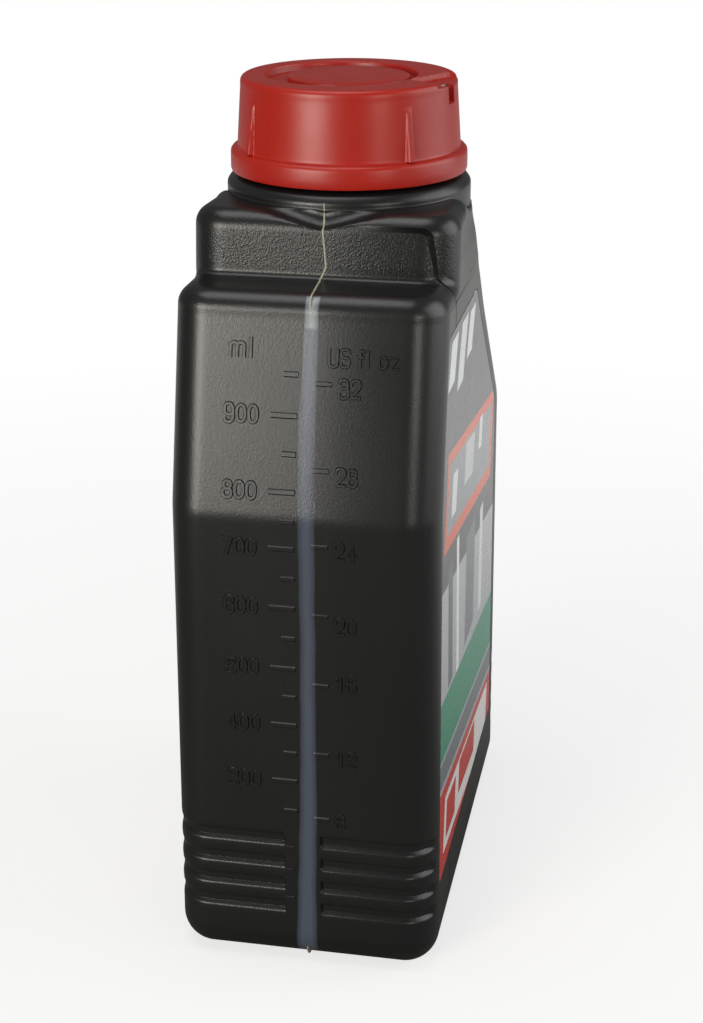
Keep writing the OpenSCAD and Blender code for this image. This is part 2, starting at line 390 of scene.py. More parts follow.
def ledge_rows(share, t):
    """Rows that round over the ledge's edge and run along the ledge to the block, moved in by t.

    A column of the near face or a near corner goes straight from the foot of the rounding to the block's
    outline; its height is that of a round edge at its depth inside the lower outline, plus a small fillet
    at its distance from the block. The other columns keep the height of the outermost corner column."""
    s = sizes()
    one = np.ones((len(share), len(KIND)))
    w = np.asarray(share)[:, None] * one
    xa, ya = section(FOOT_Z * one, t * one)
    near = mix(near_x(FOOT_Z), block_near(BLOCK_Z), w)
    xb, yb = section(BLOCK_Z * one, t * one, block_near(BLOCK_Z) * one)
    x, y = mix(xa, xb, w), mix(ya, yb, w)
    r, rn = LEDGE_R - t, s["corner_radius"] - t
    d = corner_depth(x, y, near_x(FOOT_Z) + t, side_y(x, half_y(FOOT_Z)) - t, rn)
    e = -corner_depth(x, y, block_near(BLOCK_Z) + t, side_y(x, half_y(BLOCK_Z)) - t, rn)
    f = BLOCK_Z - LEDGE_Z
    z = FOOT_Z + round_rise(r, d) + f - round_rise(f, e)
    others = ~np.isin(KIND, ("near_corner", "near_face"))
    edge = np.flatnonzero((KIND == "near_corner") & (VALUE < 96))[0]
    z[:, others] = (FOOT_Z + (z[:, edge] - z[0, edge]) * f / (z[-1, edge] - z[0, edge]))[:, None]
    xo, yo = section(z, t * one, near)
    x[:, others], y[:, others] = xo[:, others], yo[:, others]
    return np.stack([x, y, z], -1)


def top_height(x):
    """Height of the top beside the collar: high over the block, lower over the far part."""
    return mix(BLOCK_TOP, FAR_TOP, smooth(-13.0, -1.0, x))


def vee_height(x, y):
    """Two planes that rise from the middle line, with a hollow fillet up the collar: the notch before it."""
    low, rise, bend, r = 172.6, 0.26, 0.3, 3.4
    return low + rise * np.sqrt(y * y + bend) + r - round_rise(r, np.hypot(x, y) - COLLAR_R)


def body_rows():
    """The body's surface as rows by columns by xyz.

    From the middle of the base: the hollow and the foot, the rounded base edge, the side with its grooves
    and label panels, the ledge, the block, the block's rounded top edge and V-shaped notch, the collar, the
    neck with its thread, the lip, the bore and the inner wall down to the floor."""
    s = sizes()
    n = len(KIND)
    rows = []

    def level(z, t, near=None):
        z = np.broadcast_to(np.asarray(z, float).reshape(-1, 1), (np.size(z), n)).copy()
        t = np.broadcast_to(np.asarray(t, float).reshape(-1, 1), z.shape).copy()
        return section(z, t, near)

    def add(x, y, z):
        rows.append(np.stack(np.broadcast_arrays(x, y, z), -1))

    r = s["base_radius"]
    # the foot and the hollow, as the base outline drawn in towards the middle
    x, y = level([r], [r])
    share = np.array([0.10, 0.35, 0.6, 0.80, 0.865, 0.885, 0.9, 1.0])[:, None]
    hollow = np.array([1.1, 1.1, 1.1, 1.1, 0.95, 0.2, 0.0, 0.0])[:, None]
    add(x * share, y * mix(0.62, 1.0, smooth(0.3, 1.0, share)) * share, hollow)
    a = quarter(16)[1:]
    x, y = level(np.full(len(a), r), r * (1 - np.sin(a)))
    add(x, y, (r * (1 - np.cos(a)))[:, None])

    z = body_heights()[:, None] * np.ones((1, n))
    x, y = section(z, np.zeros_like(z))
    broad = np.char.startswith(KIND, "front_") | np.char.startswith(KIND, "back_")
    panel = smooth(0.0, 0.35, label_distance(x, z, 0.35)) * broad[None, :]
    x, y = section(z, groove_inset(z) + s["label_recess"] * panel)
    add(x, y, z)

    # over the ledge, then up the block to where its top edge starts to round
    share = np.concatenate([
        0.3 * (1 - np.cos(quarter(13)[1:])), [0.4, 0.52, 0.64, 0.76, 0.86],
        0.9 + 0.1 * np.sin(quarter(9))])
    ledge = ledge_rows(share, 0.0)
    rows.append(ledge)
    x, y = level([BLOCK_MID], [0.0], block_near(BLOCK_MID))
    top = top_height(x)
    inset = np.clip(0.85 * (np.hypot(x, y) - COLLAR_R), 0.4, 4.4)
    drop = np.clip(1.2 * inset, 2.0, 4.4)
    start = top - drop
    z = mix(ledge[-1:, :, 2], start, np.linspace(0, 1, 13)[1:, None])
    x, y = section(z, np.zeros_like(z), block_near(z))
    add(x, y, z)

    # the rounded top edge, then over the top and the notch to the collar
    a = quarter(15)[1:, None]
    zz = np.repeat(start, len(a), 0)
    x, y = section(zz, inset * (1 - np.cos(a)), block_near(zz))
    add(x, y, smooth_min(start + drop * np.sin(a), vee_height(x, y), TOP_FILLET))
    foot = COLLAR_R * np.stack([x[-1], y[-1]]) / np.hypot(x[-1], y[-1])
    w = np.linspace(0, 1, 19)[1:-1, None]
    px, py = mix(x[-1], foot[0], w), mix(y[-1], foot[1], w)
    add(px, py, smooth_min(mix(top, top_height(foot[0]), w), vee_height(px, py), TOP_FILLET))
    foot_z = np.minimum(smooth_min(top_height(foot[0]), vee_height(*foot), 0.5), 176.9)

    # everything round from here: angles of the columns about the neck
    ang = np.arctan2(foot[1], foot[0])

    def ring(radius, z):
        return around(radius, z, ang[None, :])

    for q in quarter(5):
        rows.append(ring(COLLAR_R + 0.3 * (1 - math.sin(q)), foot_z + 0.3 * (1 - math.cos(q))))
    for w in (0.33, 0.67, 1.0):
        rows.append(ring(COLLAR_R, mix(foot_z + 0.3, 177.4, w)))
    for radius, z in ((28.42, 177.8), (28.2, 178.2), (27.9, 178.6), (27.55, 179.0), (27.15, 179.3),
                      (26.6, 179.55), (25.8, 179.7), (24.0, 179.75), (21.2, 179.8), (20.7, 179.9),
                      (NECK_R, 180.2), (NECK_R, 180.6)):
        rows.append(ring(radius, z))
    z = np.arange(181.0, 194.9, 0.32)[:, None] * np.ones((1, n))
    rows.append(ring(NECK_R + 0.9 * thread_crest(z, ang[None, :], 0.0), z))
    for radius, z in ((NECK_R, 195.3), (NECK_R, 195.8), (NECK_R - 0.15, 196.2), (NECK_R - 0.5, LIP_Z),
                      (BORE_R + 0.5, LIP_Z), (BORE_R + 0.12, 196.25), (BORE_R, 195.9), (BORE_R, 188.0),
                      (BORE_R, 178.0), (BORE_R, 171.6), (BORE_R + 0.4, 171.0), (BORE_R + 1.2, 170.7)):
        rows.append(ring(radius, z))

    # the inner wall, a wall's thickness inside the outer one
    for z in (169.2, 167.6, 166.3, 165.2):
        x, y = level([z], [WALL], block_near(z))
        add(x, y, z - WALL)
    rows.append(ledge_rows(share[::-3], WALL))
    for z in (157.5, 150, 142, 134, 126, 118, 113.8, 108, 90, 60, 41, 39, 11, 9.5):
        x, y = level([z], [WALL + (1.2 if 10 < z < 40 else 0.0)])
        add(x, y, z - WALL)
    bend, floor_z = 6.2, 2.6
    for q in quarter(6)[1:]:
        x, y = level([r], [WALL + bend * (1 - math.cos(q))])
        add(x, y, floor_z + bend * (1 - math.sin(q)))
    x, y = level([r], [WALL + bend])
    for share in (0.6, 0.25):
        add(x * share, y * share, floor_z)
    return np.concatenate(rows)


def thread_crest(z, angle, phase):
    """Height of a thread from 0 to 1: a rounded ridge that rises one pitch a turn and fades at its ends."""
    pitch = cap_sizes()["thread_pitch"]
    lead = z - phase - pitch * angle / (2 * math.pi)
    off = (lead + pitch / 2) % pitch - pitch / 2
    ends = smooth(THREAD_LOW, THREAD_LOW + 2.0, z) * smooth(THREAD_HIGH, THREAD_HIGH - 2.0, z)
    return smooth(0.95, 0.35, np.abs(off)) * ends


def put_mesh(name, points, faces, sharp=32.0):
    """A mesh object in metres from points in millimetres, smooth but for edges past the sharp angle."""
    mesh = bpy.data.meshes.new(name)
    mesh.from_pydata((np.asarray(points) * MM).tolist(), [], faces)
    mesh.validate()
    mesh.shade_smooth()
    mesh.set_sharp_from_angle(angle=math.radians(sharp))
    obj = bpy.data.objects.new(name, mesh)
    bpy.context.scene.collection.objects.link(obj)
    return obj


def grid_faces(rows, cols, closed=True, start=0):
    """Quads of a grid of rows by columns, joined round where it is closed."""
    k = np.arange(rows - 1)[:, None] * cols
    i = np.arange(cols if closed else cols - 1)[None, :]
    j = (i + 1) % cols
    return np.stack([k + i, k + j, k + cols + j, k + cols + i], -1).reshape(-1, 4) + start


def closed_surface(name, rows):
    """A closed surface from rows of points that run round it, each end closed by a fan to its middle."""
    m, n = rows.shape[:2]
    i = np.arange(n)
    j = (i + 1) % n
    last = (m - 1) * n
    faces = grid_faces(m, n).tolist()
    faces += np.stack([j, i, np.full(n, m * n)], -1).tolist()
    faces += np.stack([last + i, last + j, np.full(n, m * n + 1)], -1).tolist()
    return put_mesh(name, np.concatenate([rows.reshape(-1, 3), [rows[0].mean(0), rows[-1].mean(0)]]), faces)


def node(tree, kind, sockets=None, **settings):
    """Adds a node with its settings. A socket's value is a number, a colour or another node's output."""
    made = tree.nodes.new(kind)
    for key, value in settings.items():
        setattr(made, key, value)
    for key, value in (sockets or {}).items():
        if isinstance(value, bpy.types.NodeSocket):
            tree.links.new(value, made.inputs[key])
        else:
            made.inputs[key].default_value = value
    return made


def material(name, **shader):
    """A material with one Principled shader, whose plain values are set on its own sockets."""
    made = bpy.data.materials.new(name)
    made.use_nodes = True
    bsdf = made.node_tree.nodes["Principled BSDF"]
    for key, value in shader.items():
        bsdf.inputs[key.replace("_", " ")].default_value = value
    return made, made.node_tree, bsdf


def feed(tree, bsdf, **outputs):
    """Links node outputs to the shader's own sockets."""
    for key, value in outputs.items():
        tree.links.new(value, bsdf.inputs[key.replace("_", " ")])


def calc(tree, operation, *values):
    """The output of a Math node on the given values."""
    made = node(tree, "ShaderNodeMath", dict(enumerate(values)), operation=operation)
    return made.outputs[0]


def ramp(tree, value, low, high):
    """0 where the value is at low, 1 where it is at high."""
    made = node(tree, "ShaderNodeMapRange", {"Value": value, "From Min": low, "From Max": high})
    return made.outputs["Result"]


def blend(tree, factor, a, b):
    """Colour a where the factor is 0 and b where it is 1."""
    return node(tree, "ShaderNodeMix", {0: factor, 6: a, 7: b}, data_type="RGBA").outputs[2]


def object_axes(tree):
    """The Object coordinate and its X, Y and Z."""
    at = node(tree, "ShaderNodeTexCoord").outputs["Object"]
    parts = node(tree, "ShaderNodeSeparateXYZ", {0: at}).outputs
    return at, parts[0], parts[1], parts[2]


def curve(tree, value, points):
    """A value followed along straight runs between (value, result) points."""
    out = None
    for (a, ra), (b, rb) in zip(points[:-1], points[1:]):
        step = node(tree, "ShaderNodeMapRange", {
            "Value": value, "From Min": a, "From Max": b, "To Min": 0.0 if out else ra,
            "To Max": rb - ra if out else rb}).outputs["Result"]
        out = calc(tree, "ADD", out, step) if out else step
    return out


def grain(tree, at, sizes_mm, depths_mm, strength=1.0, crown=None):
    """A bump of noise layers, each with its own feature size and depth in millimetres, on a given height."""
    height = crown
    for size, depth in zip(sizes_mm, depths_mm):
        noise = node(tree, "ShaderNodeTexNoise", {"Vector": at, "Scale": 1.0 / (size * MM), "Detail": 2.0})
        part = calc(tree, "MULTIPLY", noise.outputs["Fac"], depth * MM)
        height = calc(tree, "ADD", height, part) if height else part
    bump = node(tree, "ShaderNodeBump", {"Height": height, "Strength": strength, "Distance": 1.0})
    return bump.outputs["Normal"]


def black_polyethylene():
    """Blow-moulded black HDPE from a blasted mould: a waxy sheen broken up by a fine pebbled grain.

    A zone of natural HDPE runs up the scale side and shows the oil behind it as a smoky blue stripe,
    paler above the oil's level."""
    colours = bpy.context.scene.bottle_colours
    made, tree, bsdf = material("hdpe_black_grained", IOR=1.5)
    at, x, y, z = object_axes(tree)
    stripe_top, stripe_back = 0.1628, -0.0466
    wobble = node(tree, "ShaderNodeTexNoise", {"Vector": at, "Scale": 90.0, "Detail": 3.0}).outputs["Fac"]
    wobble = calc(tree, "MULTIPLY", calc(tree, "SUBTRACT", wobble, 0.5), 0.0007)
    left = curve(tree, z, [(0.0, 0.0019), (0.018, 0.0014), (0.045, 0.0005), (0.085, 0.0001),
                           (0.114, 0.0004), (0.135, 0.0008), (0.156, 0.0001), (0.1625, 0.0002)])
    right = curve(tree, z, [(0.0, -0.0033), (0.017, -0.0031), (0.045, -0.0035), (0.116, -0.0035),
                            (0.135, -0.0030), (0.1625, -0.0029)])
    wide = calc(tree, "ADD", y, wobble)
    inside = calc(tree, "MINIMUM", calc(tree, "SUBTRACT", left, wide), calc(tree, "SUBTRACT", wide, right))
    for edge, place in ((stripe_top, z), (stripe_back, x)):
        inside = calc(tree, "MINIMUM", inside, calc(tree, "SUBTRACT", edge, place))
    stripe = ramp(tree, inside, -0.00012, 0.00022)
    core = ramp(tree, inside, 0.0, 0.0014)
    oil = ramp(tree, z, 0.1556, 0.1548)
    # painted light: 1 below 0.12 m and 0 at the stripe's top, where the stripe is painted paler
    painted_light_fade = ramp(tree, z, stripe_top, 0.12)
    pale = blend(tree, core, linear("5d6468"), linear(colours.stripe_clear))
    wet = blend(tree, core, linear("2c2f3a"), linear(colours.stripe))
    cloud = node(tree, "ShaderNodeTexNoise", {"Vector": at, "Scale": 60.0, "Detail": 2.0}).outputs["Fac"]
    wet = blend(tree, calc(tree, "MULTIPLY", cloud, 0.5), wet, linear("41454f"))
    # painted light: over its top the oil-filled stripe is painted paler towards 6a717d, where the leaning
    # upper panel catches the light from above
    wet = blend(tree, calc(tree, "MULTIPLY", calc(tree, "SUBTRACT", 1.0, painted_light_fade), 0.5), wet, linear("6a717d"))
    strip_colour = blend(tree, oil, pale, wet)
    mottle = node(tree, "ShaderNodeTexNoise", {"Vector": at, "Scale": 25.0, "Detail": 4.0}).outputs["Fac"]
    black = blend(tree, mottle, linear(colours.body), linear("171818"))
    feed(tree, bsdf, Base_Color=blend(tree, stripe, black, strip_colour))
    sheen = calc(tree, "MULTIPLY_ADD", mottle, 0.08, 0.28)
    feed(tree, bsdf, Roughness=calc(tree, "MULTIPLY_ADD", stripe, -0.08, sheen))
    # past the stripe the photograph is darker: there a height of -3.4 y^2 turns the light away, in bump only
    past = calc(tree, "MINIMUM", calc(tree, "ADD", y, 0.001), 0.0)
    face = ramp(tree, x, -0.0325, -0.0330)
    crown = calc(tree, "MULTIPLY", calc(tree, "MULTIPLY", past, past), calc(tree, "MULTIPLY", face, -3.4))
    # the upper block is blasted more coarsely
    pebble = node(tree, "ShaderNodeTexNoise", {"Vector": at, "Scale": 1.0 / (0.5 * MM), "Detail": 2.0})
    block = calc(tree, "MULTIPLY", ramp(tree, z, 0.1625, 0.165), ramp(tree, z, 0.174, 0.171))
    pebble = calc(tree, "MULTIPLY", calc(tree, "MULTIPLY", pebble.outputs["Fac"], block), 0.000085)
    crown = calc(tree, "ADD", crown, pebble)
    feed(tree, bsdf, Normal=grain(tree, at, (0.25, 0.7), (0.022, 0.024), 1.0, crown))
    return made


def red_polypropylene():
    """Injection-moulded red PP: satin, with faint flow marks and a soft handling sheen."""
    colours = bpy.context.scene.bottle_colours
    made, tree, bsdf = material("pp_red_satin", IOR=1.49)
    at, x, y, z = object_axes(tree)
    cloud = node(tree, "ShaderNodeTexNoise", {"Vector": at, "Scale": 70.0, "Detail": 4.0}).outputs["Fac"]
    tone = blend(tree, cloud, linear(colours.cap), linear("98160a"))
    fine = node(tree, "ShaderNodeTexNoise", {"Vector": at, "Scale": 900.0, "Detail": 2.0}).outputs["Fac"]
    tone = blend(tree, calc(tree, "MULTIPLY", fine, 0.35), tone, linear("b62414"))
    # the notch's back wall is drawn in the colour of the insert, which is seen through it
    c, sn = math.cos(NOTCH), math.sin(NOTCH)
    along = calc(tree, "ADD", calc(tree, "MULTIPLY", x, c), calc(tree, "MULTIPLY", y, sn))
    beside = calc(tree, "SUBTRACT", calc(tree, "MULTIPLY", y, c), calc(tree, "MULTIPLY", x, sn))
    beside = calc(tree, "ABSOLUTE", beside)
    seen = calc(tree, "MULTIPLY", ramp(tree, beside, 0.00172, 0.0016), ramp(tree, along, 0.0218, 0.0220))
    seen = calc(tree, "MULTIPLY", seen, calc(tree, "MULTIPLY", ramp(tree, along, 0.0231, 0.0229), ramp(
        tree, z, 0.2008, 0.2006)))
    feed(tree, bsdf, Base_Color=blend(tree, seen, tone, linear(colours.insert)))
    feed(tree, bsdf, Roughness=calc(tree, "MULTIPLY_ADD", cloud, 0.12, 0.31))
    feed(tree, bsdf, Normal=grain(tree, at, (0.4, 3.0), (0.015, 0.05), 0.5))
    return made


def pale_polypropylene():
    """Injection-moulded natural PP insert: milky, slightly lilac, satin."""
    made, tree, bsdf = material("pp_natural_milky", Roughness=0.42, IOR=1.49, Subsurface_Weight=0.15)
    at = object_axes(tree)[0]
    cloud = node(tree, "ShaderNodeTexNoise", {"Vector": at, "Scale": 110.0, "Detail": 3.0}).outputs["Fac"]
    tone = blend(tree, cloud, linear(bpy.context.scene.bottle_colours.insert), linear("b7b2c6"))
    feed(tree, bsdf, Base_Color=tone)
    feed(tree, bsdf, Normal=grain(tree, at, (0.5,), (0.02,), 0.5))
    return made


def foam_liner():
    """Expanded polyethylene liner: matte off-white with fine closed cells."""
    made, tree, bsdf = material("pe_foam_liner", Roughness=0.75, IOR=1.45)
    at = object_axes(tree)[0]
    cells = node(tree, "ShaderNodeTexVoronoi", {"Vector": at, "Scale": 1 / (0.6 * MM)}).outputs["Distance"]
    feed(tree, bsdf, Base_Color=blend(tree, cells, linear("d8d4c8"), linear("ece9df")))
    bump = node(tree, "ShaderNodeBump", {"Height": cells, "Strength": 0.3, "Distance": 0.0002})
    feed(tree, bsdf, Normal=bump.outputs["Normal"])
    return made


def fork_oil():
    """Light mineral oil in the bottle: clear amber with a mirror-smooth level."""
    made, tree, bsdf = material("fork_oil_amber", Roughness=0.05, IOR=1.47)
    at, _, _, z = object_axes(tree)
    depth = ramp(tree, z, 0.155, 0.0)
    cloud = node(tree, "ShaderNodeTexNoise", {"Vector": at, "Scale": 12.0, "Detail": 2.0}).outputs["Fac"]
    tone = blend(tree, depth, linear(bpy.context.scene.bottle_colours.oil), linear("5f4a2a"))
    tone = blend(tree, calc(tree, "MULTIPLY", cloud, 0.2), tone, linear("8a6c3f"))
    feed(tree, bsdf, Base_Color=tone)
    return made


def seam_polyethylene():
    """Thin flash of natural HDPE squeezed out at the mould's parting line: translucent straw."""
    made, tree, bsdf = material("hdpe_flash", Roughness=0.4, IOR=1.53)
    at = object_axes(tree)[0]
    cloud = node(tree, "ShaderNodeTexNoise", {"Vector": at, "Scale": 300.0, "Detail": 3.0}).outputs["Fac"]
    feed(tree, bsdf, Base_Color=blend(tree, cloud, linear("b9b592"), linear("8b8b86")))
    return made


def inside_of(tree, x, z, edges):
    """1 inside the shape that the half-planes a x + b z < c bound, in millimetres on the label."""
    flat = node(tree, "ShaderNodeCombineXYZ", {0: x, 1: z}).outputs[0]
    out = None
    for a, b, c in edges:
        size = math.hypot(a, b)
        way = (a / size, b / size, 0)
        dot = node(tree, "ShaderNodeVectorMath", {0: flat, 1: way}, operation="DOT_PRODUCT")
        gap = calc(tree, "SUBTRACT", c * MM / size, dot.outputs["Value"])
        out = calc(tree, "MINIMUM", out, gap) if out else gap
    return ramp(tree, out, -0.00008, 0.00008)


def leaning_box(x0, x1, z0, z1, lean=0.0, rise=0.0):
    """Half-planes of a four-sided shape: upright edges leaning by lean per height, level edges rising."""
    return [(-1, lean, -(x0 - lean * z0)), (1, -lean, x1 - lean * z0), (rise, -1, -(z0 - rise * x0)),
            (-rise, 1, z1 - rise * x0)]


def printed_label(name, shapes, ground):
    """Gloss film label printed with plain fields of colour: each shape is (half-planes, colour)."""
    made, tree, bsdf = material(name, IOR=1.5, Coat_Weight=0.25, Coat_Roughness=0.1)
    at, x, _, z = object_axes(tree)
    # the ground is darker at the label's foot and paler at its top
    foot_to_top = ramp(tree, z, LABEL_LOW * MM, LABEL_HIGH * MM)
    colour = blend(tree, foot_to_top, linear(ground[0]), linear(ground[1]))
    for edges, fill in shapes:
        colour = blend(tree, inside_of(tree, x, z, edges), colour, linear(fill))
    fine = node(tree, "ShaderNodeTexNoise", {"Vector": at, "Scale": 160.0, "Detail": 2.0}).outputs["Fac"]
    colour = blend(tree, calc(tree, "MULTIPLY", fine, 0.025), colour, linear("ffffff"))
    feed(tree, bsdf, Base_Color=colour)
    feed(tree, bsdf, Roughness=calc(tree, "MULTIPLY_ADD", fine, 0.08, 0.24))
    feed(tree, bsdf, Normal=grain(tree, at, (9.0,), (0.03,), 0.5))
    return made


def front_print():
    """The front label's fields: slanted pale flashes, an outlined orange panel, grey upright bars, a green
    band and a red foot, in a plain layout of their own."""
    shapes = [
        (leaning_box(-60, 60, 96, 160, 0, -0.14), "3b3f44"),
        (leaning_box(-43, -33, 140, 150, 0.55), "e9edf0"),
        (leaning_box(-29, -19, 136, 150, 0.55), "dfe3e6"),
        (leaning_box(-13, -4, 139, 149, 0.55), "e9edf0"),
        (leaning_box(-47, 40, 103, 126, 0.25, -0.13), "e2521c"),
        (leaning_box(-43, 36, 106, 122.5, 0.25, -0.13), "8d9297"),
        (leaning_box(-36, -28, 108, 118, 0.3, -0.13), "e7e9ea"),
        (leaning_box(-14, 2, 108, 118, 0.3, -0.13), "c9ccce"),
        (leaning_box(12, 18, 108, 116, 0.3, -0.13), "e7e9ea"),
        (leaning_box(-38, -31, 66, 97, -0.05), "5c6167"),
        (leaning_box(-24, -20, 60, 99, -0.05), "f2f3f3"),
        (leaning_box(-10, 6, 64, 92, 0.06), "6f757b"),
        (leaning_box(16, 22, 62, 90, 0.06), "e2e4e5"),
        (leaning_box(-60, 60, 53, 68, 0, -0.12), "108c68"),
        (leaning_box(-60, 60, 46, 52, 0, -0.12), "6d7378"),
        (leaning_box(-60, 60, 0, 44.5, 0, -0.12), "cc2619"),
        (leaning_box(-44, 38, 25, 39, 0.2, -0.1), "f1efee"),
        (leaning_box(-40, -24, 27, 36.5, 0.2, -0.1), "cc2619"),
        (leaning_box(-18, 12, 27, 35.5, 0.2, -0.1), "cc2619"),
    ]
    return printed_label("film_label_front", shapes, ("a4a9ae", "c3c7ca"))


def back_print():
    """The back label's fields: pale ground with a dark head, a data block of grey bars and a red foot."""
    shapes = [(leaning_box(-60, 60, 128, 160, 0, -0.1), "3b3f44")]
    shapes += [(leaning_box(-44, 36 - 9 * (k % 3), 112 - 6 * k, 114.2 - 6 * k), "8b9095") for k in range(7)]
    shapes += [
        (leaning_box(-44, -6, 44, 64), "d9dbdc"),
        (leaning_box(2, 40, 44, 64), "d9dbdc"),
        (leaning_box(-60, 60, 0, 36, 0, -0.08), "cc2619"),
    ]
    return printed_label("film_label_back", shapes, ("b5b9bc", "c9ccce"))


def face_y(x, z):
    """Distance of a broad face from the middle plane: straight from near corner to far corner."""
    start = near_x(z) + sizes()["corner_radius"]
    end = flat_end(z)
    hn, hf = side_y(start, half_y(z)), side_y(end, half_y(z)) + 0.35 * smooth(140, 158, z)
    return mix(hn, hf, (x - start) / (end - start))


def label_slab(name, way):
    """A thin slab on a broad face: a grid from edge to edge at each height, on both sides, with a rim.

    Its corners are round: near its top and foot the two edges draw in along an arc."""
    r = LABEL_CORNER
    corner = r * (1 - np.cos(quarter(8)))
    z = np.concatenate([LABEL_LOW + corner, np.linspace(24, 106, 12), np.linspace(108, 148, 24),
                        (LABEL_HIGH - corner)[::-1]])
    lo, hi = label_edge(z)
    near_end = np.minimum(z - LABEL_LOW, LABEL_HIGH - z)
    draw = r - round_rise(r, near_end)
    s = np.linspace(0, 1, 25)[None, :]
    x = (lo + draw)[:, None] * (1 - s) + (hi - draw)[:, None] * s
    zz = z[:, None] * np.ones_like(s)
    front = np.stack([x, way * (face_y(x, zz) - 0.05), zz], -1)
    back = np.stack([x, way * (face_y(x, zz) - 0.35), zz], -1)
    m, n = x.shape
    faces = np.concatenate([grid_faces(m, n, False), grid_faces(m, n, False, m * n)[:, ::-1]])
    rim = np.concatenate([np.arange(n), np.arange(1, m) * n + n - 1, (m - 1) * n + np.arange(n - 2, -1, -1),
                          np.arange(m - 2, 0, -1) * n])
    after = np.roll(rim, -1)
    faces = np.concatenate([faces, np.stack([after, rim, rim + m * n, after + m * n], -1)])
    if way > 0:
        faces = faces[:, ::-1]
    return put_mesh(name, np.concatenate([front.reshape(-1, 3), back.reshape(-1, 3)]), faces.tolist())


def near_point(y, z, lift):
    """A point of the scale side at y and z, lifted off along the face's own normal."""
    slope = (near_x(z + 0.05) - near_x(z - 0.05)) / 0.1
    size = np.sqrt(1 + slope * slope)
    return np.stack([near_x(z) - lift / size, y, z + lift * slope / size], -1)


def rounded(points, times=3, loop=False):
    """Chaikin's corner cutting: each run's quarter points replace its ends, three times over."""
    p = np.array(points, float)
    for _ in range(times):
        q = np.concatenate([p, p[:1]]) if loop else p
        cut = np.stack([0.75 * q[:-1] + 0.25 * q[1:], 0.25 * q[:-1] + 0.75 * q[1:]], 1).reshape(-1, 2)
        p = cut if loop else np.concatenate([q[:1], cut[1:-1], q[-1:]])
    return np.concatenate([p, p[:1]]) if loop else p


# strokes of each sign as (across, up) points, in heights of a numeral
GLYPHS = {
    "0": [rounded([(0, 1), (0, 0), (.6, 0), (.6, 1)], loop=True)],
    "1": [np.array([(.12, .78), (.4, 1), (.4, 0)])],
    "2": [np.concatenate([rounded([(.0, .76), (.0, 1.04), (.6, 1.06), (.62, .6), (.3, .34), (.0, .0)]),
                          [(.6, 0)]])],
    "3": [rounded([(.0, .84), (.0, 1.04), (.6, 1.06), (.62, .54), (.24, .54)]),
          rounded([(.24, .54), (.68, .54), (.66, -.06), (.0, -.06), (.0, .18)])],
    "4": [np.array([(.46, 0), (.46, 1), (.0, .28), (.64, .28)])],
    "5": [np.array([(.58, 1), (.08, 1), (.04, .56)]),
          rounded([(.04, .56), (.3, .72), (.68, .64), (.66, -.06), (.0, -.06), (.0, .16)])],
    "6": [rounded([(.58, .86), (.56, 1.06), (.0, 1.06), (.0, -.06), (.62, -.06), (.64, .6), (.02, .6),
                   (.0, .34)])],
    "7": [np.array([(.0, 1), (.6, 1), (.22, 0)])],
    "8": [rounded([(.04, 1), (.04, .54), (.56, .54), (.56, 1)], loop=True),
          rounded([(-.01, .54), (-.01, 0), (.61, 0), (.61, .54)], loop=True)],
    "9": [rounded([(.0, .14), (.04, -.06), (.6, -.06), (.6, 1.06), (-.02, 1.06), (-.02, .4), (.58, .4),
                   (.6, .66)])],
    "m": [np.array([(0, 0), (0, .7)]), rounded([(0, .5), (.1, .76), (.44, .72), (.44, .4), (.44, 0)]),
          rounded([(.44, .5), (.54, .76), (.9, .72), (.9, .4), (.9, 0)])],
    "l": [np.array([(.1, 0), (.1, 1)])],
    "U": [rounded([(0, 1), (0, .3), (.02, -.06), (.58, -.06), (.6, .3), (.6, 1)])],
    "S": [rounded([(.58, .84), (.56, 1.05), (.0, 1.05), (.0, .54), (.6, .54), (.62, -.05), (.0, -.05),
                   (.0, .18)])],
    "f": [rounded([(.4, 1), (.16, 1.04), (.16, .7), (.16, 0)]), np.array([(.0, .62), (.36, .62)])],
    "o": [rounded([(0, .7), (0, 0), (.58, 0), (.58, .7)], loop=True)],
    "z": [np.array([(.0, .66), (.5, .66), (.0, 0), (.54, 0)])],
    " ": [],
}
GLYPH_WIDTH = {"m": 1.22, "l": 0.5, "f": 0.62, " ": 0.4}
SLIM = 0.88


def mark_lines():
    """The scale's lines as (points of y and z, half width): ticks, numerals and the units on both sides of
    the stripe. They run from +Y to -Y, which is left to right for someone who faces the scale."""
    lines = []

    def text(word, y, z, height, half):
        for letter in word:
            for stroke in GLYPHS[letter]:
                across, up = stroke.T * height
                lines.append((np.stack([y - across * SLIM, z + up], -1), half))
            y -= GLYPH_WIDTH.get(letter, 0.86) * height * SLIM

    levels = np.array([48.9, 63.3, 77.6, 92.6, 106.9, 119.8, 136.4])
    for level, word in zip(levels, ("300", "400", "500", "600", "700", "800", "900")):
        lines.append((np.array([(6.6, level), (1.6, level)]), 0.72))
        text(word, 17.3, level - 1.8, 3.55, 0.5)
    for level in list((levels[:-1] + levels[1:]) / 2) + [145.3, 41.1]:
        lines.append((np.array([(3.9, level), (1.6, level)]), 0.7))
    for level in (31.4, 25.4, 17.8):
        lines.append((np.array([(3.9, level), (2.3, level)]), 0.4))
    text("ml", 16.4, 148.6, 3.9, 0.48)
    text("US fl oz", -5.6, 147.6, 3.4, 0.42)
    ounces = {"32": (143.6, 141.0), "28": (124.9, 122.0), "24": (107.9, 105.3), "20": (91.2, 87.2),
              "16": (74.0, 73.2), "12": (56.5, 54.0), "8": (39.6, 37.6)}
    for word, (level, foot) in ounces.items():
        lines.append((np.array([(-3.1, level), (-6.0, level)]), 0.6))
        text(word, -8.0, foot, 3.5, 0.45)
    return lines


